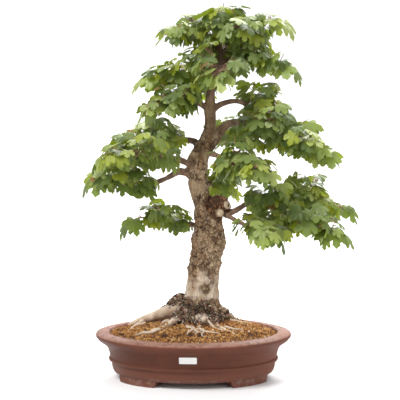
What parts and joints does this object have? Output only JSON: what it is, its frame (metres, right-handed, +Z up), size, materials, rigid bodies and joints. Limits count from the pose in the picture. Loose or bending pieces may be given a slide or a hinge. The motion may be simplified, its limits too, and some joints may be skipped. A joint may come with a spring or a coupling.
{
  "type": "field maple bonsai",
  "caption": "Broadleaf miniature maple with a gnarled, flaring trunk and tiered leafy pads, planted in an oval unglazed clay pot on low feet.",
  "frame": {"origin": "middle of the whole tree's bounding box, on the surface that the pot's feet stand on", "axes": "+Z up along the trunk, -Y towards the viewer of the usual front, X along the oval pot's length"},
  "size_m": [0.5704, 0.4074, 0.7416],
  "materials": {
    "unglazed_clay": "unglazed matt",
    "soil_granules": "rough granules",
    "bark": "rough bark",
    "leaf": "soft satin",
    "label_paper": "smooth coated",
    "screen_plastic": "matt"
  },
  "bodies": {
    "root": {"pot": "unglazed_clay", "soil": "soil_granules", "trunk": "bark", "price_label": "label_paper", "drain_screen_left": "screen_plastic", "drain_screen_right": "screen_plastic", "leafy_spray_01": "leaf", "leafy_spray_02": "leaf", "leafy_spray_03": "leaf", "leafy_spray_04": "leaf", "leafy_spray_05": "leaf", "leafy_spray_06": "leaf", "leafy_spray_07": "leaf", "leafy_spray_08": "leaf", "leafy_spray_09": "leaf", "leafy_spray_10": "leaf", "leafy_spray_11": "leaf", "leafy_spray_12": "leaf", "leafy_spray_13": "leaf", "leafy_spray_14": "leaf", "leafy_spray_15": "leaf", "leafy_spray_16": "leaf", "leafy_spray_17": "leaf", "leafy_spray_18": "leaf", "leafy_spray_19": "leaf", "leafy_spray_20": "leaf", "leafy_spray_21": "leaf", "leafy_spray_22": "leaf", "leafy_spray_23": "leaf", "leafy_spray_24": "leaf", "leafy_spray_25": "leaf", "leafy_spray_26": "leaf", "leafy_spray_27": "leaf", "leafy_spray_28": "leaf", "leafy_spray_29": "leaf", "leafy_spray_30": "leaf", "leafy_spray_31": "leaf", "leafy_spray_32": "leaf", "leafy_spray_33": "leaf", "leafy_spray_34": "leaf", "leafy_spray_35": "leaf", "leafy_spray_36": "leaf", "leafy_spray_37": "leaf", "leafy_spray_38": "leaf", "leafy_spray_39": "leaf", "leafy_spray_40": "leaf", "leafy_spray_41": "leaf", "leafy_spray_42": "leaf", "leafy_spray_43": "leaf", "leafy_spray_44": "leaf", "leafy_spray_45": "leaf"}
  },
  "joints": []
}
